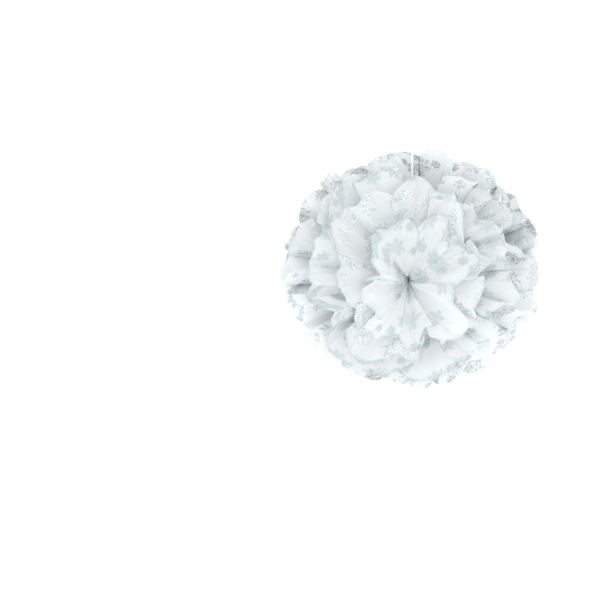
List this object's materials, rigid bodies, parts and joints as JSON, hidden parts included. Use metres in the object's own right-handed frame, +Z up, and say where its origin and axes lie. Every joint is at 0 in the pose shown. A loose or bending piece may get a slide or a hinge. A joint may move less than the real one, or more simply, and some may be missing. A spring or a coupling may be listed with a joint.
{
  "type": "tissue paper pom-pom",
  "caption": "Hanging ball of pleated, fanned and pulled-apart white tissue sheets with round petals, tied at the middle and hung by a looped cord.",
  "frame": {"origin": "where a hook bears inside the loop at the top of the cord", "axes": "+Z up along the hanging cord, -Y out of the ball's front, where its petals meet, and X along the folded stack, between the two half fans"},
  "size_m": [0.3943, 0.3459, 0.5242],
  "materials": {
    "printed_tissue": "matt, thin and translucent, with a silver-grey glitter print of small snowflakes",
    "tie_wire": "thin galvanised wire",
    "white_cord": "white satin cord"
  },
  "bodies": {
    "root": {"tissue_sheet_01": "printed_tissue", "tissue_sheet_02": "printed_tissue", "tissue_sheet_03": "printed_tissue", "tissue_sheet_04": "printed_tissue", "tissue_sheet_05": "printed_tissue", "tissue_sheet_06": "printed_tissue", "tissue_sheet_07": "printed_tissue", "tissue_sheet_08": "printed_tissue", "tissue_sheet_09": "printed_tissue", "tissue_sheet_10": "printed_tissue", "waist_tie": "tie_wire", "hanging_cord": "white_cord"}
  },
  "joints": []
}
